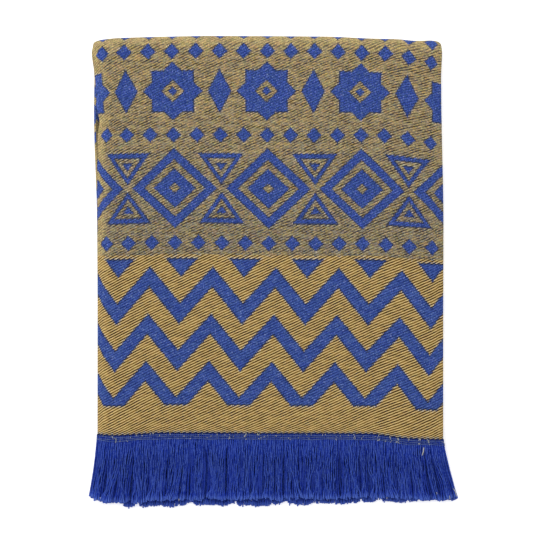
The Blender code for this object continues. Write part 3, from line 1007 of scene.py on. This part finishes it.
def fringe_paths(fringe):
    """The middle lines of a fringe's yarns: two rows of them, one above the other, laid on the floor."""
    rng = np.random.default_rng(fringe.seed)
    root, row = yarn_roots(rng, *fringe.close)
    count = root.size
    turned = on_turns(root, X_STOPS)
    calm = (1 - CALM * turned)[:, None]
    down = np.linspace(0, 1, YARN_RINGS)

    # Each bunch draws in towards its own middle, and its cut tips spread out again
    edges = np.append(0, np.cumsum(rng.uniform(*BUNCH_WIDE, BUNCH_COUNT)))
    bunch = np.searchsorted(edges, root) - 1
    wide = (edges[bunch + 1] - edges[bunch])[:, None]
    middle = ((edges[bunch] + edges[bunch + 1]) / 2)[:, None]
    aside = root[:, None] - middle
    gather = rng.uniform(*GATHER, edges.size)[bunch][:, None]
    gather_from = rng.uniform(*GATHER_FROM, edges.size)[bunch][:, None]
    gather = gather * np.where(row < 0, LOWER_GATHER, 1.0)[:, None]
    draw = smooth_rise(down, gather_from, NARROWEST) - REGAINED * smooth_rise(down, NARROWEST, 1.0)
    draw = gather * draw

    # It leans one way or the other and bows, and each of its yarns crinkles and strays by itself
    lean = DRIFT * wandering(rng, middle, DRIFT_WAVE)
    lean = lean + rng.normal(0, BUNCH_LEAN, edges.size)[bunch][:, None]
    lean = lean + rng.normal(0, YARN_LEAN, (count, 1))
    bow = BOW * np.cos(BOW_TURN * bunch)[:, None] * np.sin(np.pi * down**BOW_CURVE)
    crinkle = 0.0
    for size, least, most in CRINKLES:
        turns = rng.uniform(least, most, (count, 1)) * down + rng.uniform(0, 1, (count, 1))
        crinkle = crinkle + size * np.sin(2 * np.pi * turns)
    crinkle = crinkle * smooth_rise(down, *CRINKLE_FROM)
    sway = calm * (1 - LOWER_CALM * (row < 0))[:, None]
    x = root[:, None] + sway * (lean * down**LEAN_CURVE + bow - aside * draw + crinkle)

    # Its tips are cut unevenly, reach furthest at its middle, and stop short at a notch and on a flap
    uneven = rng.normal(0, fringe.uneven, edges.size)[bunch] + rng.normal(0, YARN_UNEVEN, count)
    uneven = uneven - ROUNDED * (2 * aside / wide)[:, 0] ** 2
    place = fold(root, 0 * root, THIRDS)[0]
    place = place + side_value(place, "flare")
    uneven = uneven - sum(depth * hump(place, middle, half) for middle, half, depth in fringe.notches)
    on_flap = (root < fringe.close[0]) | (root > fringe.close[1])
    reach = fringe.length + uneven - on_flap * FLAP_SHORTER
    y = fringe.hem + fringe.outward * (down * reach[:, None] - YARN_TUCK)

    # It lies in a round heap, and its tips curl up
    loft = LOFT * (1 - (2 * aside / wide) ** 2) - LOFT_SIDES
    loft = loft + rng.normal(0, BUNCH_LOFT, edges.size)[bunch][:, None]
    loft = (loft + rng.normal(0, YARN_LOFT, (count, 1))) * calm
    curl = fringe.lift * rng.uniform(*CURL, (count, 1)) * smooth_rise(down, CURL_FROM, 1.0) * calm**2
    z = row[:, None] * (ROW_LIFT + ROW_PARTING * down) + loft * smooth_rise(down, *LOFT_FROM) + curl
    laid = lay_up(np.stack([x, y + 0 * x, z], -1))
    laid[..., 2] = np.maximum(laid[..., 2], LOWER_RADIUS * (1 + UNTWISTED))
    return laid, row, turned


def make_fringe(fringe):
    """Every yarn of a fringe, stouter in its lower row and on the side folds, and darker there with painted
    shade.
    """
    paths, row, turned = fringe_paths(fringe)
    radii = LOWER_RADIUS - (LOWER_RADIUS - UPPER_RADIUS) * (row > 0) * (1 - turned)
    untwisted = smooth_rise(np.linspace(0, 1, YARN_RINGS), UNTWISTED_FROM, 1.0)
    radii = radii[:, None] * (1 + UNTWISTED * untwisted)
    piece = make_tubes(fringe.node + "_yarns", paths, radii, YARN_SIDES, (1, 0, 0), blue_yarn)
    # Painted shade: the lower row, the under fringe's upper row and the yarns on the side folds are
    # darkened
    lower = np.where(row < 0, 1.0, np.maximum(fringe.shade, FOLD_SHADE * turned))
    add_value(piece, "lower", np.repeat(lower, len(piece.data.vertices) // row.size))
    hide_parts(fringe.node)
    return piece


blue_yarn = yarn_material("blue_yarn", 0.064, paint(10, 31, 130), paint(46, 77, 186), paint(84, 112, 200))
fringes = [make_fringe(TOP_FRINGE), make_fringe(UNDER_FRINGE)]

# The floor, the light and the camera: a plain pale floor under soft light from the upper left, seen from
# straight above through a long lens.
WHITE = (1, 1, 1, 1)
FLOOR_SIDE = 6.0
FLOOR_DROP = 0.0002
FLOOR_COLOUR = (0.95, 0.95, 0.95, 1)
FLOOR_GLOW = 0.38
SKY_LIGHT = 0.68
WINDOW_PLACE = (-0.45, 0.75, 1.8)
WINDOW_SIDE = 1.8
WINDOW_WATTS = 26.0
VIEW_MIDDLE = (-0.00456, 0.00096)
VIEW_SIDE = 0.5184  # what the picture takes in at the height of the cloth
VIEW_HEIGHT = 0.0205
LENS, SENSOR = 120.0, 36.0

pale_floor = new_material("pale_floor")
set_shader(pale_floor, {"Base Color": FLOOR_COLOUR, "Roughness": 0.9, "Specular IOR Level": 0.0})
set_shader(pale_floor, {"Emission Color": WHITE, "Emission Strength": FLOOR_GLOW})
corners = np.array([(-1, -1, 0), (1, -1, 0), (1, 1, 0), (-1, 1, 0)]) * FLOOR_SIDE / 2
floor = make_mesh("floor", corners - (0, 0, FLOOR_DROP), [(0, 1, 2, 3)], pale_floor)

world = bpy.data.worlds.new("studio")
bpy.context.scene.world = world
world.use_nodes = True
feed(world.node_tree.nodes["Background"], {"Color": WHITE, "Strength": SKY_LIGHT})

lamp = bpy.data.lights.new("window", "AREA")
lamp.energy = WINDOW_WATTS
lamp.size = WINDOW_SIDE
window = bpy.data.objects.new("window", lamp)
window.location = WINDOW_PLACE
window.rotation_euler = (-window.location).to_track_quat("-Z", "Y").to_euler()
bpy.context.scene.collection.objects.link(window)

lens = bpy.data.cameras.new("above")
lens.lens = LENS
lens.sensor_width = SENSOR
camera = bpy.data.objects.new("above", lens)
camera.location = (*VIEW_MIDDLE, VIEW_HEIGHT + VIEW_SIDE * LENS / SENSOR)
bpy.context.scene.collection.objects.link(camera)
bpy.context.scene.camera = camera
bpy.context.scene.view_settings.view_transform = "Standard"
